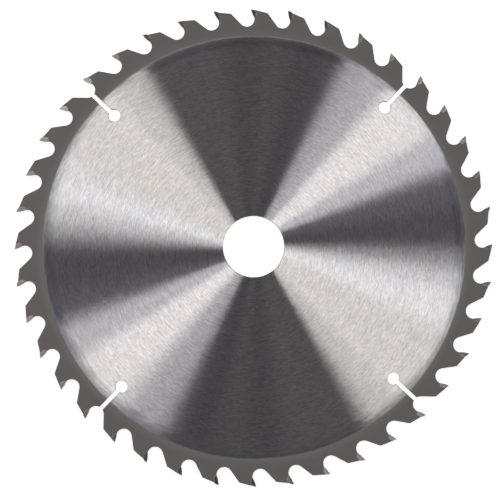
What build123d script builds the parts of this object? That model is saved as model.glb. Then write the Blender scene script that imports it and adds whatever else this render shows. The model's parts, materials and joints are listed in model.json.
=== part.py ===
from build123d import *

import math
import os

# Circular saw blade with brazed carbide tips, 235 mm across, for a 30 mm arbor.
# The origin is the centre of the bore at the middle of the plate, and +Z is the bore's axis.
# Seen from +Z the teeth point counterclockwise. Lengths are in millimetres, angles in degrees.

# Plate, ground bright up to the rim, which is blasted matt and a little thinner
OUTER_DIAMETER = 235.0
BORE_DIAMETER = 30.0
PLATE_THICKNESS = 1.8
RIM_WIDTH = 13.6
BLAST_DEPTH = 0.02

# Teeth
TOOTH_COUNT = 40
HOOK_ANGLE = 18.0
CLEARANCE_ANGLE = 15.0
LAND_LENGTH = 8.35
GULLET_DEPTH = 9.1
GULLET_RADIUS = 3.8

# Carbide tips
TIP_LENGTH = 4.6
TIP_THICKNESS = 1.95
TIP_CORNER_RADIUS = 1.4
TIP_BACK_LEAN = 8.0
TIP_SIDE_SET = 0.4
TIP_TOP_SET = 0.3
TIP_FACE_SET = 0.05
RAKE_FACE_LENGTH = 2.8
LOWER_FACE_ANGLE = 7.5
TOP_BEVEL_ANGLE = 15.0
RADIAL_RELIEF_ANGLE = 1.0
TANGENTIAL_RELIEF_ANGLE = 2.0

# Braze between a tip and its seat
BRAZE_GAP = 0.12
BRAZE_FILLET_WIDTH = 0.2
BRAZE_FILLET_HEIGHT = 0.2
BRAZE_FEATHER = 0.02

# Expansion slots, each cut inwards from a gullet to a round hole
SLOT_COUNT = 4
SLOT_WIDTH = 2.0
SLOT_HOLE_DIAMETER = 6.0
SLOT_HOLE_DISTANCE = 94.0
FIRST_SLOT_ANGLE = 45.0

OUTER_RADIUS = OUTER_DIAMETER / 2
PITCH_ANGLE = 360 / TOOTH_COUNT
KERF = PLATE_THICKNESS + 2 * TIP_SIDE_SET
RIM_THICKNESS = PLATE_THICKNESS - 2 * BLAST_DEPTH

# One tooth is drawn at twelve o'clock, where its point is at (0, OUTER_RADIUS) and its back runs to +X.
POINT = Vector(0, OUTER_RADIUS)
DOWN_THE_FACE = Vector(0, -1).rotate(Axis.Z, HOOK_ANGLE)
BACK_FROM_FACE = Vector(1, 0).rotate(Axis.Z, HOOK_ANGLE)
BACK_FROM_TIP = Vector(1, 0).rotate(Axis.Z, HOOK_ANGLE + TIP_BACK_LEAN)
ALONG_THE_BACK = Vector(1, 0).rotate(Axis.Z, -CLEARANCE_ANGLE)


def from_face(depth, back):
    """The point this deep down the rake face and this far behind it."""
    return POINT + DOWN_THE_FACE * depth + BACK_FROM_FACE * back


def rise_to_top(start, below=0.0):
    """Where a line up a tip's back reaches the top of the tooth, or a line this much below that top."""
    upwards = BACK_FROM_TIP.rotate(Axis.Z, 90)
    across = ALONG_THE_BACK.rotate(Axis.Z, 90)
    to_top = POINT - Vector(0, below) - start
    return start + upwards * (to_top.dot(across) / upwards.dot(across))


# The front of the seat lies this far behind the line of the rake face.
LOWER_FACE_STEP = (TIP_LENGTH - RAKE_FACE_LENGTH) * math.tan(math.radians(LOWER_FACE_ANGLE))
SEAT_FRONT = LOWER_FACE_STEP + TIP_FACE_SET


def heel(offset):
    """The line behind and under a tip, moved out by an offset: top, two ends of the round, its middle, front."""
    centre = from_face(TIP_LENGTH - TIP_CORNER_RADIUS, TIP_THICKNESS - TIP_CORNER_RADIUS)
    reach = TIP_CORNER_RADIUS + offset
    upper = centre + BACK_FROM_TIP * reach
    middle = centre + (BACK_FROM_TIP + DOWN_THE_FACE).normalized() * reach
    lower = centre + DOWN_THE_FACE * reach
    front = from_face(TIP_LENGTH + offset, SEAT_FRONT)
    return rise_to_top(upper, TIP_TOP_SET), upper, middle, lower, front


def gullet_centre():
    """Centre of the round gullet that is ahead of the tooth and meets the front of its seat."""
    front = heel(BRAZE_GAP)[-1]
    distance = OUTER_RADIUS - GULLET_DEPTH + GULLET_RADIUS
    cosine = (distance**2 + front.length**2 - GULLET_RADIUS**2) / (2 * distance * front.length)
    ahead = math.degrees(math.acos(cosine))
    return front.normalized().rotate(Axis.Z, ahead) * distance


GULLET_CENTRE = gullet_centre()
GULLET_LEAD_ANGLE = math.degrees(math.atan2(-GULLET_CENTRE.X, GULLET_CENTRE.Y))


def tooth_angle(index):
    """How far a tooth is turned from twelve o'clock, so that the first gullet is at the first slot."""
    return FIRST_SLOT_ANGLE - 90 - GULLET_LEAD_ANGLE + index * PITCH_ANGLE


def tooth_outline():
    """Edges of the plate from the front of one seat, over the tooth's back, to the front of the next."""
    top, upper, middle, lower, front = heel(BRAZE_GAP)
    below_point = Vector(0, OUTER_RADIUS - TIP_TOP_SET)
    back_corner = below_point + ALONG_THE_BACK * (LAND_LENGTH / ALONG_THE_BACK.X)
    centre = GULLET_CENTRE.rotate(Axis.Z, -PITCH_ANGLE)
    to_corner = back_corner - centre
    swing = math.degrees(math.acos(GULLET_RADIUS / to_corner.length))
    ramp_end = centre + to_corner.normalized().rotate(Axis.Z, swing) * GULLET_RADIUS
    bottom = centre - centre.normalized() * GULLET_RADIUS
    return [
        Line(front, lower),
        ThreePointArc(lower, middle, upper),
        Line(upper, top),
        Line(top, back_corner),
        Line(back_corner, ramp_end),
        ThreePointArc(ramp_end, bottom, front.rotate(Axis.Z, -PITCH_ANGLE)),
    ]


def expansion_slot():
    """Cutter for a slot along +X, from its round hole out into a gullet."""
    length = GULLET_CENTRE.length - SLOT_HOLE_DISTANCE
    hole = Pos(SLOT_HOLE_DISTANCE, 0) * Cylinder(SLOT_HOLE_DIAMETER / 2, PLATE_THICKNESS)
    slot = Pos(SLOT_HOLE_DISTANCE + length / 2, 0) * Box(length, SLOT_WIDTH, PLATE_THICKNESS)
    return hole + slot


def blade_body():
    """The steel plate, with its gullets, seats, bore and slots."""
    tooth = tooth_outline()
    edges = []
    for index in range(TOOTH_COUNT):
        turn = Rot(0, 0, tooth_angle(-index))
        edges += [turn * edge for edge in tooth]
    plate = extrude(make_face(edges), RIM_THICKNESS / 2, both=True)
    plate += Cylinder(OUTER_RADIUS - RIM_WIDTH, PLATE_THICKNESS)
    plate -= Cylinder(BORE_DIAMETER / 2, PLATE_THICKNESS)
    for number in range(SLOT_COUNT):
        gullet = round(number * TOOTH_COUNT / SLOT_COUNT)
        plate -= Rot(0, 0, FIRST_SLOT_ANGLE + gullet * PITCH_ANGLE) * expansion_slot()
    return plate.solid()


def tip_block():
    """A tip before its sides and top are ground: its outline at the full kerf."""
    _, upper, middle, lower, _ = heel(0)
    corner = from_face(TIP_LENGTH, LOWER_FACE_STEP)
    bend = from_face(RAKE_FACE_LENGTH, 0)
    top_back = rise_to_top(upper)
    outline = [
        Line(POINT, bend),
        Line(bend, corner),
        Line(corner, lower),
        ThreePointArc(lower, middle, upper),
        Line(upper, top_back),
        Line(top_back, POINT),
    ]
    return extrude(make_face(outline), KERF / 2, both=True)


def carbide_tip(high_side):
    """A ground tip, with the high corner of its bevelled top on the +Z side (1) or the -Z side (-1)."""
    tip = tip_block()
    radial = DOWN_THE_FACE * math.tan(math.radians(RADIAL_RELIEF_ANGLE))
    tangential = BACK_FROM_FACE * math.tan(math.radians(TANGENTIAL_RELIEF_ANGLE))
    for side in (1, -1):
        corner = POINT + Vector(0, 0, side * KERF / 2)
        flank = Plane(corner, z_dir=radial + tangential + Vector(0, 0, side))
        tip = split(tip, flank, keep=Keep.BOTTOM)
    high_corner = POINT + Vector(0, 0, high_side * KERF / 2)
    uphill = Vector(0, math.tan(math.radians(TOP_BEVEL_ANGLE)), high_side)
    upwards = ALONG_THE_BACK.cross(uphill) * -high_side
    return split(tip, Plane(high_corner, z_dir=upwards), keep=Keep.BOTTOM).solid()


def seam_face(outer, inner):
    """Band behind and under a tip, between two offsets from it."""
    top_1, upper_1, middle_1, lower_1, front_1 = heel(outer)
    top_2, upper_2, middle_2, lower_2, front_2 = heel(inner)
    return make_face(
        [
            Line(top_1, upper_1),
            ThreePointArc(upper_1, middle_1, lower_1),
            Line(lower_1, front_1),
            Line(front_1, front_2),
            Line(front_2, lower_2),
            ThreePointArc(lower_2, middle_2, upper_2),
            Line(upper_2, top_2),
            Line(top_2, top_1),
        ]
    )


def fillet_height():
    """Height of the braze fillet, which stays below the narrowest place of the tip's flank."""
    narrowing = TIP_LENGTH * math.tan(math.radians(RADIAL_RELIEF_ANGLE))
    narrowing += TIP_THICKNESS * math.tan(math.radians(TANGENTIAL_RELIEF_ANGLE))
    return min(BRAZE_FILLET_HEIGHT, 0.9 * (TIP_SIDE_SET - narrowing))


def braze_seam():
    """Solder that fills the gap round a tip's heel, with a sloped fillet on each face of the plate."""
    inside_tip = -TIP_CORNER_RADIUS / 2
    foot = seam_face(BRAZE_GAP + BRAZE_FILLET_WIDTH, inside_tip)
    crest = Pos(0, 0, fillet_height()) * seam_face(BRAZE_FEATHER, inside_tip)
    fillet = Pos(0, 0, RIM_THICKNESS / 2) * loft([foot, crest], ruled=True)
    fillet -= tip_block()
    seam = extrude(seam_face(BRAZE_GAP, 0), RIM_THICKNESS / 2, both=True)
    seam += fillet
    seam += mirror(fillet, Plane.XY)
    return seam.solid()


def write(shape, node):
    export_step(shape, f"parts/{node}.step")


os.makedirs("parts", exist_ok=True)
write(blade_body(), "blade_body")
tips = {side: carbide_tip(side) for side in (1, -1)}
for number in range(TOOTH_COUNT):
    high_side = 1 if number % 2 == 0 else -1
    write(Rot(0, 0, tooth_angle(number)) * tips[high_side], f"carbide_tip_{number + 1:02d}")
seam = braze_seam()
seams = [Rot(0, 0, tooth_angle(number)) * seam for number in range(TOOTH_COUNT)]
write(Compound(seams), "braze_seams")
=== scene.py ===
import json
import math

import bmesh
import bpy
from mathutils import Matrix, Vector
from mathutils.bvhtree import BVHTree


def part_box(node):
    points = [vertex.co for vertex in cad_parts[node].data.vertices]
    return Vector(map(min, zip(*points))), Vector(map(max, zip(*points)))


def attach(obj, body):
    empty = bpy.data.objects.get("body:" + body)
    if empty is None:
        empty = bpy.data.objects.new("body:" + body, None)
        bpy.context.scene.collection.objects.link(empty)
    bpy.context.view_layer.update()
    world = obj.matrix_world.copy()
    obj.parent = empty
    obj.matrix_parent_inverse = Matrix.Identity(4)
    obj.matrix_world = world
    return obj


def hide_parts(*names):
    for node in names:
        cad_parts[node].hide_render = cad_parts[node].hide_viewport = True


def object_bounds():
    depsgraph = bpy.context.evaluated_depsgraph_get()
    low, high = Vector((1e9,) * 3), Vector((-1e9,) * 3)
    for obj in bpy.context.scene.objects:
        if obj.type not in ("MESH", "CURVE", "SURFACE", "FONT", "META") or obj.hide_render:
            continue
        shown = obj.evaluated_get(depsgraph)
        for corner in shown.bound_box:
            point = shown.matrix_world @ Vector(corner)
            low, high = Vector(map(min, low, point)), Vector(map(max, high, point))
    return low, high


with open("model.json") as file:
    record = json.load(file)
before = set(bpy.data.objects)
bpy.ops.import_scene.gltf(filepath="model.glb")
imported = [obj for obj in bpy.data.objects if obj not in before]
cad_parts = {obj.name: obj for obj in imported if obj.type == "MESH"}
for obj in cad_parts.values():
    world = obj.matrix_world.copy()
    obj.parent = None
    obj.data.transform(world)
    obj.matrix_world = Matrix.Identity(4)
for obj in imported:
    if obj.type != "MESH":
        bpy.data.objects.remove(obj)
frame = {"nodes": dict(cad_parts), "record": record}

cad_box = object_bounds()

# Lengths are in metres and angles in degrees, unless a name says otherwise. Materials count in millimetres.
# The blade lies flat on the floor on its carbide tips, and the camera looks down on it.
MM = 0.001

# Camera
IMAGE_SIDE_PX = 500
VIEW_WIDTH = 245.2 * MM
CAMERA_DISTANCE = 656 * MM
CAMERA_TILT = 1.76
CAMERA_PAN = -0.12
BLADE_ROLL = 1.68
BLADE_RIGHT_PX = 3.56
BLADE_UP_PX = 3.36

# Studio. Upright panels stand in a ring round the blade, most of them in pairs that face each other.
# A row gives the directions between which the ground steel shines, counted counterclockwise from the right of
# the image, the radiance of the pair, the share of it that stands in those directions, and the tint.
PANEL_DISTANCE = 1.0
PANEL_BOTTOM = 1.19
PANEL_TOP = 2.75
COOL = (0.955, 0.94, 1.0)
WARM = (1.0, 0.962, 0.945)
WARMER = (1.0, 0.962, 0.923)
NEUTRAL = (0.99, 0.99, 1.0)
DUSK = (0.8, 0.78, 1.0)
PANELS = (
    (-2, 11, 0.19, 0.67, DUSK),
    (11, 21, 0.56, 1.0, DUSK),
    (21, 32, 5.13, 0.83, COOL),
    (32, 48, 8.3, 0.67, WARM),
    (48, 55, 4.17, 0.75, COOL),
    (55, 62.5, 3.66, 0.88, COOL),
    (62.5, 69, 0.12, 0.67, DUSK),
    (77, 87, 0.16, 0.3, WARM),
    (87, 97, 0.04, 0.3, WARM),
    (97, 118, 0.25, 0.3, WARM),
    (121.6, 134, 5.1, 1.0, WARMER),
    (124.6, 134, 0.7, 0.0, WARMER),
    (134, 156, 6.98, 0.84, WARMER),
    (156, 167, 8.05, 0.6, NEUTRAL),
    (167, 172.5, 5.8, 0.47, NEUTRAL),
    (172.5, 178, 2.5, 0.62, NEUTRAL),
)
STUDIO_GLOOM = (0.088, 0.0832, 0.088)
FLOOR_RADIUS = 4.5
FLOOR_CURVE_RADIUS = 1.1
FLOOR_CURVE_ANGLE = 75
FLOOR_GLOW = 0.7

# Blade
TIPS = [piece for name, piece in frame["nodes"].items() if name.startswith("carbide_tip")]
TOOTH_PITCH = 360 / len(TIPS)
FIRST_POINT = max((vertex.co for vertex in TIPS[0].data.vertices), key=lambda corner: corner.xy.length).copy()
HOOK_ANGLE = 18.0
PLATE_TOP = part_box("blade_body")[1].z
BORE_RADIUS = frame["record"]["mounts"][0]["dims"]["r_mm"] * MM
BLASTED_STEP = 0.02 * MM
BROKEN_EDGE = 0.16 * MM
SHARP_ANGLE = 30
HAIR = 0.005 * MM

# Lines square to the plate's grinding marks pass the bore's axis at this distance.
GRIND_OFFSET_MM = 1.87
# A tip's grinding marks and its back lean by these slopes.
TIP_GRIND_SLOPE = 0.16
TIP_BACK_SLOPE = 0.14
# The blasting and the dull band inside it are a little off the axis.
BLAST_CENTRE_MM = (0.45, 0.0)
DULL_CENTRE_MM = (1.0, 1.73)

# A material varies between two tones. In parts of it, a single tone replaces them or a tint multiplies them.
GROUND_TONES = ((0.564, 0.56, 0.572), (0.572, 0.56, 0.552))
DULL_TINT = (0.625, 0.638, 0.658)
# Painted shade, multiplied into the finely ground ring over its upper part.
RING_PAINTED_SHADE_TINT = (0.81, 0.82, 0.845)
BLASTED_DISC_TONE = (0.196, 0.186, 0.182)
BLASTED_TONES = ((0.178, 0.168, 0.163), (0.199, 0.185, 0.177))
HEATED_TONE = (0.215, 0.187, 0.163)
# Partly the rim's own lighter tone along the disc, partly painted light.
NEAR_DISC_TONE = (0.25, 0.24, 0.232)
CUT_TONES = ((0.07, 0.066, 0.064), (0.2, 0.188, 0.18))
SCORCHED_TONES = ((0.035, 0.031, 0.029), (0.13, 0.12, 0.112))
CLEAN_EDGE_TONE = (0.4, 0.39, 0.385)
REAMED_TONES = ((0.34, 0.33, 0.32), (0.6, 0.585, 0.57))
CARBIDE_TONES = ((0.24, 0.23, 0.22), (0.32, 0.31, 0.3))
CARBIDE_STAIN_TONE = (0.16, 0.135, 0.11)
SOLDER_FILM_TONE = (0.43, 0.39, 0.338)
SOLDER_TONES = ((0.24, 0.218, 0.191), (0.56, 0.514, 0.45))
FLOOR_TONES = ((0.8, 0.8, 0.8), (0.82, 0.82, 0.82))

# Slots of the plate's finishes
GROUND, BLASTED, CUT, REAMED, SCORCHED = range(5)


class Surface:
    """A material with a Principled shader. Its methods add nodes and return their output sockets.
    It knows a point's position, its x, y and z, the same laid flat, and its radius, in millimetres."""

    def __init__(self, name, **sockets):
        self.material = bpy.data.materials.new(name)
        self.material.use_nodes = True
        self.tree = self.material.node_tree
        self.shader = self.tree.nodes["Principled BSDF"]
        for socket, value in sockets.items():
            self.put(socket.replace("_", " "), value)
        self.position = self.scaled(self.node("ShaderNodeTexCoord", {}, "Object"), 1 / MM)
        split = self.tree.nodes.new("ShaderNodeSeparateXYZ")
        self.fill(split.inputs[0], self.position)
        self.x, self.y, self.z = split.outputs
        self.flat = self.joined(self.x, self.y, 0.0)
        self.radius = self.distance(self.flat, (0.0, 0.0, 0.0))

    def fill(self, socket, value):
        if isinstance(value, bpy.types.NodeSocket):
            self.tree.links.new(value, socket)
        elif isinstance(value, tuple) and len(value) == 3 and socket.type == "RGBA":
            socket.default_value = (*value, 1)
        else:
            socket.default_value = value

    def put(self, socket, value):
        """Sets or links one of the shader's sockets."""
        self.fill(self.shader.inputs[socket], value)

    def finish(self, tone, roughness, normal=None):
        """Sets what every finish has, and gives its material."""
        self.put("Base Color", tone)
        self.put("Roughness", roughness)
        if normal is not None:
            self.put("Normal", normal)
        return self.material

    def node(self, kind, inputs, output=0, **settings):
        """A new node, with inputs given by their names or numbers."""
        new = self.tree.nodes.new(kind)
        for key, value in settings.items():
            setattr(new, key, value)
        for key, value in inputs.items():
            self.fill(new.inputs[key], value)
        return new.outputs[output]

    def math(self, operation, *values):
        return self.node("ShaderNodeMath", dict(enumerate(values)), operation=operation)

    def product(self, first, second):
        return self.math("MULTIPLY", first, second)

    def vector(self, operation, *values, output=0):
        return self.node("ShaderNodeVectorMath", dict(enumerate(values)), output, operation=operation)

    def scaled(self, vector, factor):
        return self.node("ShaderNodeVectorMath", {"Vector": vector, "Scale": factor}, operation="SCALE")

    def distance(self, first, second):
        return self.vector("DISTANCE", first, second, output="Value")

    def joined(self, x, y, z):
        return self.node("ShaderNodeCombineXYZ", {0: x, 1: y, 2: z})

    def noise(self, vector, scale=1.0, detail=2.0, roughness=0.5, output=0):
        """Noise between 0 and 1, or three of them where the output is 1."""
        inputs = {"Vector": vector, "Scale": scale, "Detail": detail, "Roughness": roughness}
        return self.node("ShaderNodeTexNoise", inputs, output)

    def grain(self, vector, scale=1.0, roughness=0.6):
        """Noise with more fine detail."""
        return self.noise(vector, scale, 3.0, roughness)

    def wobbly(self, value, noise, amount):
        """A value that noise moves up and down, by this much in all."""
        return self.math("MULTIPLY_ADD", noise, amount, self.math("SUBTRACT", value, amount / 2))

    def rise(self, value, low, high):
        """0 below low, 1 above high, and a smooth step between."""
        inputs = {"Value": value, "From Min": low, "From Max": high}
        return self.node("ShaderNodeMapRange", inputs, interpolation_type="SMOOTHSTEP")

    def fall(self, value, low, high):
        """1 below low, 0 above high, and a smooth step between."""
        return self.rise(value, high, low)

    def between(self, factor, first, second):
        inputs = {0: factor, 2: first, 3: second}
        return self.node("ShaderNodeMix", inputs, data_type="FLOAT")

    def blend(self, factor, first, second, mode="MIX"):
        inputs = {0: factor, 6: first, 7: second}
        return self.node("ShaderNodeMix", inputs, 2, data_type="RGBA", blend_type=mode)

    def shaded(self, tone, value):
        """A tone made lighter or darker by a value about 1."""
        grey = self.node("ShaderNodeCombineColor", {0: value, 1: value, 2: value})
        return self.blend(1.0, tone, grey, "MULTIPLY")

    def mottled(self, tone, noise, amount):
        return self.shaded(tone, self.wobbly(1.0, noise, amount))

    def bump(self, height, depth):
        return self.node("ShaderNodeBump", {"Height": height, "Distance": depth})

    def shine(self, **inputs):
        """A shine drawn out across the grinding marks, which lie along its tangent."""
        return self.node("ShaderNodeBsdfAnisotropic", inputs, distribution="BECKMANN")

    def mixed(self, share, first, second):
        return self.node("ShaderNodeMixShader", {0: share, 1: first, 2: second})

    def brush(self, share, shine):
        """Mixes this share of a shine into the surface."""
        mixed = self.mixed(share, self.shader.outputs[0], shine)
        self.fill(self.tree.nodes["Material Output"].inputs["Surface"], mixed)


def brushed(surface, width, length, centre=(0.0, 0.0)):
    """Coordinates for short strokes round a centre, this wide and long in millimetres."""
    from_centre = surface.distance(surface.flat, (*centre, 0.0))
    drift = surface.noise(surface.position, scale=0.09, detail=1.0)
    across = surface.math("DIVIDE", surface.wobbly(from_centre, drift, 1.6), width)
    along = [surface.math("DIVIDE", value, length) for value in (surface.x, surface.y)]
    return surface.joined(across, *along)


def groove_direction(surface, strokes, wander, lean):
    """Tangent of the grinding marks: round the axis, leaning inwards, with some error in each stroke."""
    outwards = surface.vector("NORMALIZE", surface.flat)
    around = surface.vector("CROSS_PRODUCT", (0.0, 0.0, 1.0), outwards)
    leaning = surface.vector("SUBTRACT", around, surface.scaled(outwards, lean))
    chances = surface.noise(strokes, scale=1.2, detail=3.0, output=1)
    error = surface.vector("SUBTRACT", chances, (0.5, 0.5, 0.5))
    return surface.vector("ADD", leaning, surface.scaled(error, wander))


def past_edge(surface, edge_mm, centre=(0.0, 0.0)):
    """How far a point is outside a circle of the disc's size, in millimetres."""
    return surface.math("SUBTRACT", surface.distance(surface.flat, (*centre, 0.0)), edge_mm)


def disc_bands(surface, edge_mm, strokes, streaks, clouds):
    """Where the disc is dull, finely ground and blasted, in bands along its edge."""
    outside = past_edge(surface, edge_mm)
    fine = surface.product(surface.rise(outside, -6.5, -3.6), surface.fall(outside, -2.4, -1.0))
    outside = past_edge(surface, edge_mm, BLAST_CENTRE_MM)
    ragged = surface.wobbly(outside, surface.noise(strokes, scale=0.4), 0.6)
    blasted = surface.rise(ragged, -1.0, 0.3)
    outside = past_edge(surface, edge_mm, DULL_CENTRE_MM)
    streaky = surface.wobbly(outside, surface.noise(streaks, scale=0.6), 8.0)
    dull = surface.rise(surface.wobbly(streaky, clouds, 4.0), -4.35, -0.35)
    return dull, fine, blasted


def ground_steel(edge_mm):
    """The plate's bright face, ground in circles. It shines across the marks, more finely in a ring. Painted
    shade darkens and cools the ring towards the top.
    """
    surface = Surface("ground_steel", Metallic=1.0)
    # The two sets of strokes go round centres of their own, so that they cross here and there.
    strokes = brushed(surface, width=0.42, length=1.8, centre=(4.0, 2.5))
    streaks = brushed(surface, width=0.38, length=5.0, centre=(-3.0, -3.5))
    marks = surface.between(0.5, surface.grain(strokes), surface.grain(streaks))
    clouds = surface.noise(surface.position, scale=0.05)
    dull, fine, blasted = disc_bands(surface, edge_mm, strokes, streaks, clouds)
    upper = surface.rise(surface.y, -0.75 * edge_mm, 0.0)
    tone = surface.mottled(surface.blend(clouds, *GROUND_TONES), marks, 2.2)
    tone = surface.blend(dull, tone, DULL_TINT, "MULTIPLY")
    # Painted shade: the ring is darkened and cooled towards the top (+y), fading out below the middle.
    tone = surface.blend(surface.product(fine, upper), tone, RING_PAINTED_SHADE_TINT, "MULTIPLY")
    tone = surface.blend(blasted, tone, BLASTED_DISC_TONE)
    normal = surface.bump(marks, depth=0.002 * MM)
    lean = surface.math("DIVIDE", -GRIND_OFFSET_MM, surface.radius)
    wander = surface.between(fine, 0.17, 0.12)
    tangent = groove_direction(surface, strokes, wander, lean)
    marked = {"Color": tone, "Tangent": tangent, "Normal": normal}
    coarse_roughness = surface.between(dull, 0.282, 0.34)
    coarse_shine = surface.shine(Roughness=coarse_roughness, Anisotropy=0.855, **marked)
    fine_roughness = surface.between(upper, 0.245, 0.221)
    fine_anisotropy = surface.between(upper, 0.89, 0.865)
    fine_shine = surface.shine(Roughness=fine_roughness, Anisotropy=fine_anisotropy, **marked)
    shine = surface.mixed(surface.product(fine, 0.7), coarse_shine, fine_shine)
    surface.brush(surface.between(blasted, surface.between(dull, 0.97, 0.78), 0.0), shine)
    roughness = surface.between(blasted, surface.between(marks, 0.33, 0.39), 0.6)
    return surface.finish(tone, roughness, normal)


def tooth_frame(surface):
    """Where a point is once its tooth's point is turned to twelve o'clock, in millimetres:
    how far back from that point, and how far up from the bore's axis."""
    angle = surface.math("ARCTAN2", surface.y, surface.x)
    from_first = surface.math("SUBTRACT", angle, math.atan2(FIRST_POINT.y, FIRST_POINT.x))
    half_pitch = math.radians(TOOTH_PITCH) / 2
    turn = surface.math("WRAP", from_first, half_pitch, -half_pitch)
    back = surface.product(surface.math("SINE", turn), surface.product(surface.radius, -1.0))
    up = surface.product(surface.math("COSINE", turn), surface.radius)
    return back, up


def blasted_steel(edge_mm, plate_mm):
    """The plate's matt rim, lighter along the disc and tinted by heat round the tips. Painted shade darkens
    it towards the top, and painted light makes the lighter band along the disc stronger towards the bottom.
    """
    surface = Surface("blasted_steel", Metallic=0.85)
    grain = surface.grain(surface.position, scale=4.0)
    clouds = surface.noise(surface.position, scale=0.12)
    tone = surface.mottled(surface.blend(clouds, *BLASTED_TONES), grain, 0.3)
    tip_middle = (2.2, plate_mm - 2.4, 0.0)
    from_tip = surface.distance(surface.joined(*tooth_frame(surface), 0.0), tip_middle)
    patchy = surface.wobbly(from_tip, surface.noise(surface.position, scale=0.5), 3.0)
    lower_right = surface.rise(surface.math("SUBTRACT", surface.x, surface.y), -plate_mm, plate_mm)
    heated = surface.product(surface.fall(patchy, 1.5, 5.5), surface.between(lower_right, 0.35, 0.05))
    tone = surface.blend(heated, tone, HEATED_TONE)
    # Painted shade: the rim's tone is darkened towards the top (+y).
    upper = surface.rise(surface.y, -plate_mm, plate_mm)
    tone = surface.shaded(tone, surface.between(upper, 1.02, 0.895))
    # The lighter band along the disc is partly the rim's own tone and partly painted light, which grows
    # towards the bottom.
    near_disc = surface.fall(past_edge(surface, edge_mm), -1.0, 4.0)
    tone = surface.blend(surface.product(near_disc, surface.between(upper, 0.7, 0.25)), tone, NEAR_DISC_TONE)
    return surface.finish(tone, surface.between(grain, 0.52, 0.68), surface.bump(grain, depth=0.01 * MM))


def cut_steel():
    """The laser-cut walls of the teeth, gullets and slots: dark, with fine lines through the plate."""
    surface = Surface("cut_steel", Metallic=0.9)
    drawn_out = surface.joined(surface.x, surface.y, surface.product(surface.z, 0.08))
    lines = surface.grain(drawn_out, scale=5.0, roughness=0.65)
    tone = surface.blend(lines, *CUT_TONES)
    return surface.finish(tone, surface.between(lines, 0.35, 0.6), surface.bump(lines, depth=0.02 * MM))


def reamed_steel():
    """The wall of the bore, with fine lines round it."""
    surface = Surface("reamed_steel", Metallic=1.0)
    squeezed = surface.joined(surface.product(surface.z, 12.0), surface.x, surface.y)
    lines = surface.grain(squeezed, scale=0.6)
    tone = surface.blend(lines, *REAMED_TONES)
    return surface.finish(tone, surface.between(lines, 0.25, 0.45), surface.bump(lines, depth=0.01 * MM))


def scorched_steel(edge_mm):
    """The broken edges of the cut walls: ground clean on the disc, and darkened by the laser on the rim."""
    surface = Surface("scorched_steel", Metallic=0.8)
    rubbed = surface.rise(surface.grain(surface.position, scale=0.9), 0.45, 0.75)
    on_disc = surface.fall(past_edge(surface, edge_mm), -0.5, 0.5)
    tone = surface.blend(on_disc, surface.blend(rubbed, *SCORCHED_TONES), CLEAN_EDGE_TONE)
    return surface.finish(tone, surface.between(rubbed, 0.6, 0.42))


def solder_film(surface):
    """1 where solder has run up over the edge of a tip's back."""
    back, up = tooth_frame(surface)
    down = surface.math("SUBTRACT", FIRST_POINT.xy.length / MM, up)
    sine = math.sin(math.radians(HOOK_ANGLE))
    cosine = math.cos(math.radians(HOOK_ANGLE))
    depth = surface.math("MULTIPLY_ADD", back, sine, surface.product(down, cosine))
    behind = surface.math("MULTIPLY_ADD", down, -sine, surface.product(back, cosine))
    slanted = surface.math("MULTIPLY_ADD", depth, TIP_BACK_SLOPE, behind)
    ragged = surface.wobbly(slanted, surface.noise(surface.position, scale=1.1), 1.2)
    return surface.product(surface.rise(ragged, 1.65, 1.95), surface.rise(depth, 1.2, 2.4))


def carbide():
    """The ground tips: darker than the plate, each a little different, with solder on their backs."""
    surface = Surface("ground_carbide", Metallic=1.0)
    strokes = brushed(surface, width=0.12, length=1.5)
    marks = surface.grain(strokes)
    chance = surface.node("ShaderNodeObjectInfo", {}, "Random")
    stained = surface.rise(surface.noise(surface.position, scale=0.9), 0.5, 0.75)
    film = surface.product(solder_film(surface), surface.between(chance, 1.0, 0.5))
    tone = surface.mottled(surface.blend(chance, *CARBIDE_TONES), marks, 0.5)
    tone = surface.blend(surface.product(stained, 0.5), tone, CARBIDE_STAIN_TONE)
    tone = surface.blend(film, tone, SOLDER_FILM_TONE)
    normal = surface.bump(marks, depth=0.002 * MM)
    tangent = groove_direction(surface, strokes, 0.1, TIP_GRIND_SLOPE)
    shine = surface.shine(Color=tone, Roughness=0.3, Anisotropy=0.85, Tangent=tangent, Normal=normal)
    surface.brush(surface.between(film, 0.88, 0.55), shine)
    return surface.finish(tone, surface.between(marks, 0.4, 0.6), normal)


def solder():
    """The braze: pale and warm, with a skin left uneven by the flux."""
    surface = Surface("braze_solder", Metallic=0.9)
    lumps = surface.grain(surface.position, scale=2.5)
    fluxed = surface.rise(surface.noise(surface.position, scale=0.7), 0.35, 0.65)
    tone = surface.mottled(surface.blend(fluxed, *SOLDER_TONES), lumps, 0.4)
    return surface.finish(tone, surface.between(lumps, 0.38, 0.63), surface.bump(lumps, depth=0.03 * MM))


def farthest_mm(vertices):
    """How far the farthest of some vertices is from the bore's axis."""
    return max(vertex.co.xy.length for vertex in vertices) / MM


def is_level(face):
    return abs(face.normal.z) > 0.9


def is_upright(face):
    return abs(face.normal.z) < 0.3


def choose_finishes(shape):
    """Gives each face of the plate its finish."""
    for face in shape.faces:
        middle = face.calc_center_median()
        if is_level(face):
            face.material_index = GROUND if abs(middle.z) > PLATE_TOP - HAIR else BLASTED
        else:
            face.material_index = REAMED if middle.xy.length < BORE_RADIUS + HAIR else CUT
        face.smooth = not is_level(face)


def break_edges(shape):
    """Breaks the plate's cut edges, apart from those under the braze."""
    braze = BVHTree.FromObject(frame["nodes"]["braze_seams"], bpy.context.evaluated_depsgraph_get())
    broken = []
    for edge in shape.edges:
        is_cut = any(map(is_level, edge.link_faces)) and any(map(is_upright, edge.link_faces))
        middle = (edge.verts[0].co + edge.verts[1].co) / 2
        if is_cut and braze.find_nearest(middle, BROKEN_EDGE)[0] is None:
            broken.append(edge)
    bmesh.ops.bevel(
        shape, geom=broken, offset=BROKEN_EDGE, segments=1, profile=0.5, affect="EDGES", material=SCORCHED
    )


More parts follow.
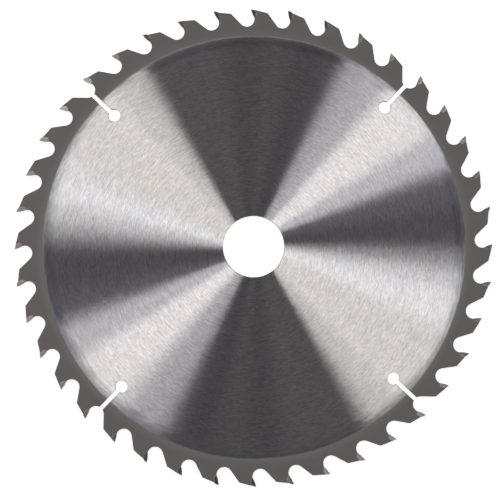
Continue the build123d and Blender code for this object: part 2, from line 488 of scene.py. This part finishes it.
def finish_plate():
    """A copy of the plate with its cut edges slightly broken, in five finishes."""
    shape = bmesh.new()
    shape.from_mesh(frame["nodes"]["blade_body"].data)
    disc_mm = farthest_mm(v for v in shape.verts if abs(v.co.z) > PLATE_TOP - HAIR)
    plate_mm = farthest_mm(shape.verts)
    choose_finishes(shape)
    # The step down to the blasted rim is merged away, so that the edges are broken evenly across it.
    bmesh.ops.remove_doubles(shape, verts=shape.verts, dist=BLASTED_STEP + HAIR)
    break_edges(shape)
    mesh = bpy.data.meshes.new("saw_plate")
    shape.to_mesh(mesh)
    shape.free()
    # The normals that came with the plate don't fit the broken edges.
    mesh.attributes.remove(mesh.attributes["custom_normal"])
    mesh.set_sharp_from_angle(angle=math.radians(SHARP_ANGLE))
    mesh.materials.append(ground_steel(disc_mm))
    mesh.materials.append(blasted_steel(disc_mm, plate_mm))
    mesh.materials.append(cut_steel())
    mesh.materials.append(reamed_steel())
    mesh.materials.append(scorched_steel(disc_mm))
    plate = bpy.data.objects.new("saw_plate", mesh)
    bpy.context.scene.collection.objects.link(plate)
    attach(plate, "root")
    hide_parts("blade_body")


def dress(piece, material):
    piece.data.materials.clear()
    piece.data.materials.append(material)


def make_camera():
    """A long lens above the blade, a little off its axis."""
    pixel = VIEW_WIDTH / IMAGE_SIDE_PX
    camera = bpy.data.objects.new("camera", bpy.data.cameras.new("camera"))
    camera.data.lens = camera.data.sensor_width * CAMERA_DISTANCE / VIEW_WIDTH
    turn = Matrix.Rotation(math.radians(-BLADE_ROLL), 4, "Z")
    turn @= Matrix.Rotation(math.radians(CAMERA_TILT), 4, "X")
    turn @= Matrix.Rotation(math.radians(CAMERA_PAN), 4, "Y")
    back = Vector((-BLADE_RIGHT_PX * pixel, -BLADE_UP_PX * pixel, CAMERA_DISTANCE))
    camera.matrix_world = Matrix.Translation(turn @ back) @ turn
    bpy.context.scene.collection.objects.link(camera)
    bpy.context.scene.camera = camera


def make_panel(name, start, end, radiance, tint):
    """An upright panel light that faces the blade's axis.
    The camera is a little off that axis, so the panel stands a little aside of the shine that it makes."""
    height = PANEL_TOP - PANEL_BOTTOM
    half_angle = math.radians(end - start) / 2
    middle = math.radians((start + end) / 2 - BLADE_ROLL)
    off_axis = bpy.context.scene.camera.location.normalized()
    sight = Vector((PANEL_DISTANCE, PANEL_BOTTOM + height / 2)).normalized().x
    middle += (off_axis.x * math.sin(middle) - off_axis.y * math.cos(middle)) / sight
    lamp = bpy.data.lights.new(name, "AREA")
    lamp.shape = "RECTANGLE"
    lamp.size = 2 * PANEL_DISTANCE * math.tan(half_angle)
    lamp.size_y = height
    lamp.color = tint
    lamp.energy = radiance * math.pi * lamp.size * lamp.size_y
    panel = bpy.data.objects.new(name, lamp)
    towards = Vector((math.cos(middle), math.sin(middle), 0))
    panel.location = towards * PANEL_DISTANCE + Vector((0, 0, PANEL_BOTTOM + height / 2))
    panel.rotation_mode = "QUATERNION"
    panel.rotation_quaternion = (-towards).to_track_quat("-Z", "Y")
    bpy.context.scene.collection.objects.link(panel)


def floor_material():
    """Pale and matt. It glows evenly to the eye and in reflections, but gives no light."""
    surface = Surface("floor", Roughness=0.9, Specular_IOR_Level=0.1)
    specks = surface.noise(surface.position, scale=0.02)
    surface.put("Base Color", surface.blend(specks, *FLOOR_TONES))
    path = surface.tree.nodes.new("ShaderNodeLightPath").outputs
    seen = surface.math("MAXIMUM", path["Is Camera Ray"], path["Is Glossy Ray"])
    seen = surface.math("MAXIMUM", seen, path["Is Transmission Ray"])
    surface.put("Emission Color", (1.0, 1.0, 1.0))
    surface.put("Emission Strength", surface.product(seen, FLOOR_GLOW))
    return surface.material


def make_floor():
    """A round floor under the tips that curves up all round, far off."""
    level = cad_box[0].z
    profile = [(FLOOR_RADIUS / 2, level), (FLOOR_RADIUS, level)]
    steps = 12
    for step in range(1, steps + 1):
        turn = math.radians(FLOOR_CURVE_ANGLE * step / steps)
        outwards = FLOOR_RADIUS + FLOOR_CURVE_RADIUS * math.sin(turn)
        profile.append((outwards, level + FLOOR_CURVE_RADIUS * (1 - math.cos(turn))))
    shape = bmesh.new()
    corners = 96
    rings = []
    for radius, height in profile:
        turns = [math.tau * corner / corners for corner in range(corners)]
        rings.append([shape.verts.new((radius * math.cos(t), radius * math.sin(t), height)) for t in turns])
    shape.faces.new(rings[0])
    for inner, outer in zip(rings, rings[1:]):
        for corner in range(corners):
            after = (corner + 1) % corners
            shape.faces.new((inner[corner], outer[corner], outer[after], inner[after])).smooth = True
    mesh = bpy.data.meshes.new("floor")
    shape.to_mesh(mesh)
    shape.free()
    mesh.materials.append(floor_material())
    floor = bpy.data.objects.new("floor", mesh)
    bpy.context.scene.collection.objects.link(floor)


def make_studio():
    make_floor()
    for number, (start, end, radiance, share, tint) in enumerate(PANELS, 1):
        if share > 0:
            make_panel(f"panel_{number}", start, end, share * radiance, tint)
        if share < 1:
            make_panel(f"panel_{number}_facing", start + 180, end + 180, (1 - share) * radiance, tint)
    world = bpy.data.worlds.new("studio")
    world.use_nodes = True
    world.node_tree.nodes["Background"].inputs["Color"].default_value = (*STUDIO_GLOOM, 1)
    bpy.context.scene.world = world
    bpy.context.scene.view_settings.view_transform = "Standard"


finish_plate()
tip_finish = carbide()
for tip in TIPS:
    dress(tip, tip_finish)
dress(frame["nodes"]["braze_seams"], solder())
make_camera()
make_studio()
